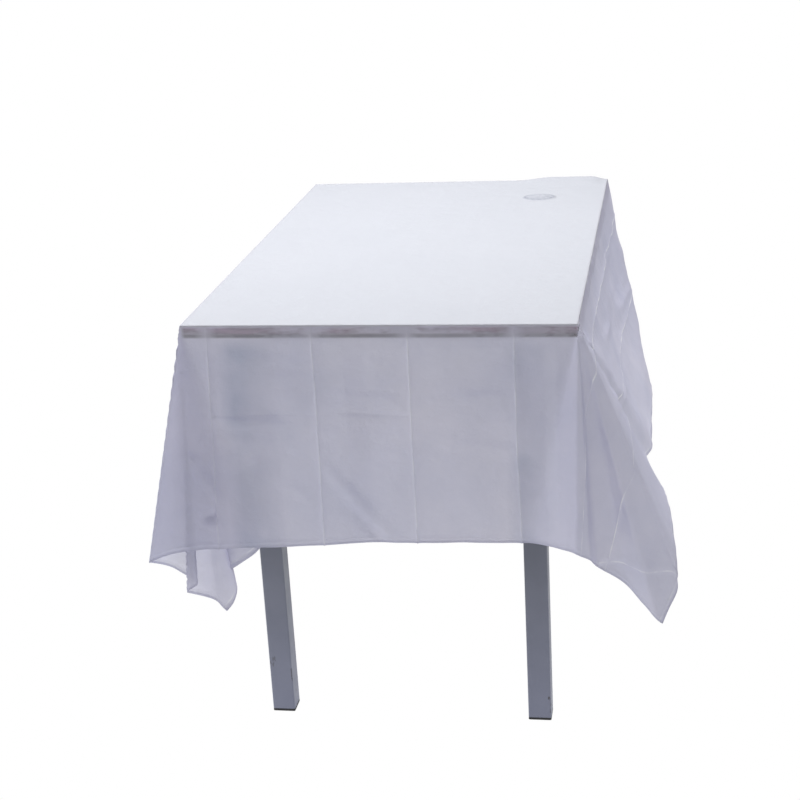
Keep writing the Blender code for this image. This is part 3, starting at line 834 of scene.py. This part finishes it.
def sheet_mesh(name, places, flat):
    """A mesh over a grid of points. Its UVs are the flat cloth's own metres."""
    rows, columns = places.shape[:2]
    index = np.arange(rows * columns).reshape(rows, columns)
    faces = np.stack([index[:-1, :-1], index[1:, :-1], index[1:, 1:], index[:-1, 1:]], -1).reshape(-1, 4)
    mesh = bpy.data.meshes.new(name)
    mesh.from_pydata(places.reshape(-1, 3).tolist(), [], faces.tolist())
    corner_points = np.array([loop.vertex_index for loop in mesh.loops])
    layer = mesh.uv_layers.new(name="flat_cloth")
    layer.data.foreach_set("uv", flat.reshape(-1, 2)[corner_points].astype(np.float32).ravel())
    mesh.shade_smooth()
    mesh.update()
    return mesh


def make_cloth(film):
    places, flat = cloth_surface()
    cloth = add_to_scene("film_cloth", sheet_mesh("film_cloth", places, flat), film)
    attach(cloth, ROOT)
    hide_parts("tablecloth")
    return cloth


# ---- floor, light and camera -----------------------------------------------------------------------------
CAMERA_PLACE = (0.4531, -2.8226, 1.4313)  # from the table's middle on the floor
CAMERA_YAW = 0.1793
CAMERA_PITCH = 0.3369
CAMERA_ROLL = 0.0564
CAMERA_LENS = 74.7
FLOOR_REACH = 30
FLOOR_SINK = 0.0005
FLOOR_GLOW = 0.74
SKY_GLOW = 0.28


def make_camera():
    data = bpy.data.cameras.new("camera")
    data.lens = CAMERA_LENS
    data.sensor_width = 36
    camera = bpy.data.objects.new("camera", data)
    bpy.context.scene.collection.objects.link(camera)
    across = Vector((math.cos(CAMERA_YAW), math.sin(CAMERA_YAW), 0))
    ahead = Vector((-math.sin(CAMERA_YAW), math.cos(CAMERA_YAW), 0))
    up = Vector((0, 0, 1))
    forward = math.cos(CAMERA_PITCH) * ahead - math.sin(CAMERA_PITCH) * up
    level_up = math.sin(CAMERA_PITCH) * ahead + math.cos(CAMERA_PITCH) * up
    right = math.cos(CAMERA_ROLL) * across - math.sin(CAMERA_ROLL) * level_up
    top = math.sin(CAMERA_ROLL) * across + math.cos(CAMERA_ROLL) * level_up
    turned = Matrix((right, top, -forward)).transposed()
    place = Vector(CAMERA_PLACE) + Vector((MIDDLE[0], MIDDLE[1], 0))
    camera.matrix_world = Matrix.Translation(place) @ turned.to_4x4()
    bpy.context.scene.camera = camera


def seen_or_lit(tree, lit, seen):
    """One shader for the light it gives and another for how it looks, so the studio stays white."""
    path = tree.nodes.new("ShaderNodeLightPath")
    return mix_shaders(tree, path.outputs["Is Camera Ray"], lit, seen)


def make_floor():
    material, tree, output = fresh_material("pale_floor")
    shader = tree.nodes.new("ShaderNodeBsdfPrincipled")
    shader.inputs["Base Color"].default_value = (0.2, 0.2, 0.2, 1)
    shader.inputs["Roughness"].default_value = 0.9
    shader.inputs["Emission Color"].default_value = (1, 1, 1, 1)
    shader.inputs["Emission Strength"].default_value = FLOOR_GLOW
    seen = node(tree, "ShaderNodeEmission", Color=(1, 1, 1, 1), Strength=1.0)
    both = seen_or_lit(tree, shader.outputs["BSDF"], seen.outputs["Emission"])
    tree.links.new(both, output.inputs["Surface"])
    mesh = bpy.data.meshes.new("floor")
    reach = FLOOR_REACH
    corners = [(-reach, -reach, 0), (reach, -reach, 0), (reach, reach, 0), (-reach, reach, 0)]
    mesh.from_pydata(corners, [], [(0, 1, 2, 3)])
    floor = add_to_scene("floor", mesh, material)
    floor.location.z = -FLOOR_SINK


def area_light(name, place, target, size, power, colour=(1, 1, 1)):
    data = bpy.data.lights.new(name, "AREA")
    data.shape = "RECTANGLE"
    data.size, data.size_y = size
    data.energy = power
    data.color = colour
    light = bpy.data.objects.new(name, data)
    bpy.context.scene.collection.objects.link(light)
    light.location = place
    light.rotation_euler = (Vector(target) - Vector(place)).to_track_quat("-Z", "Y").to_euler()


def make_light():
    world = bpy.data.worlds.new("studio")
    bpy.context.scene.world = world
    world.use_nodes = True
    tree = world.node_tree
    tree.nodes["Background"].inputs["Color"].default_value = (1, 1, 1, 1)
    tree.nodes["Background"].inputs["Strength"].default_value = SKY_GLOW
    lit = tree.nodes["Background"]
    seen = node(tree, "ShaderNodeBackground", Color=(1, 1, 1, 1), Strength=1.0)
    both = seen_or_lit(tree, lit.outputs["Background"], seen.outputs["Background"])
    tree.links.new(both, tree.nodes["World Output"].inputs["Surface"])
    area_light("overhead", (-0.25, 0.08, 2.6), (0, 0, 0.7), (2.0, 2.2), 88)
    area_light("left_window", (-2.6, -0.8, 1.4), (0, 0, 0.5), (1.4, 1.6), 24, (0.96, 0.97, 1.0))
    area_light("right_wall", (2.6, 0.9, 1.3), (0, 0, 0.5), (1.6, 1.4), 8.5, (0.93, 0.95, 1.0))
    bpy.context.scene.view_settings.view_transform = "Standard"


def main():
    make_camera()
    dress_frame()
    film = film_material()
    cloth = make_cloth(film)
    make_floor()
    make_light()


main()
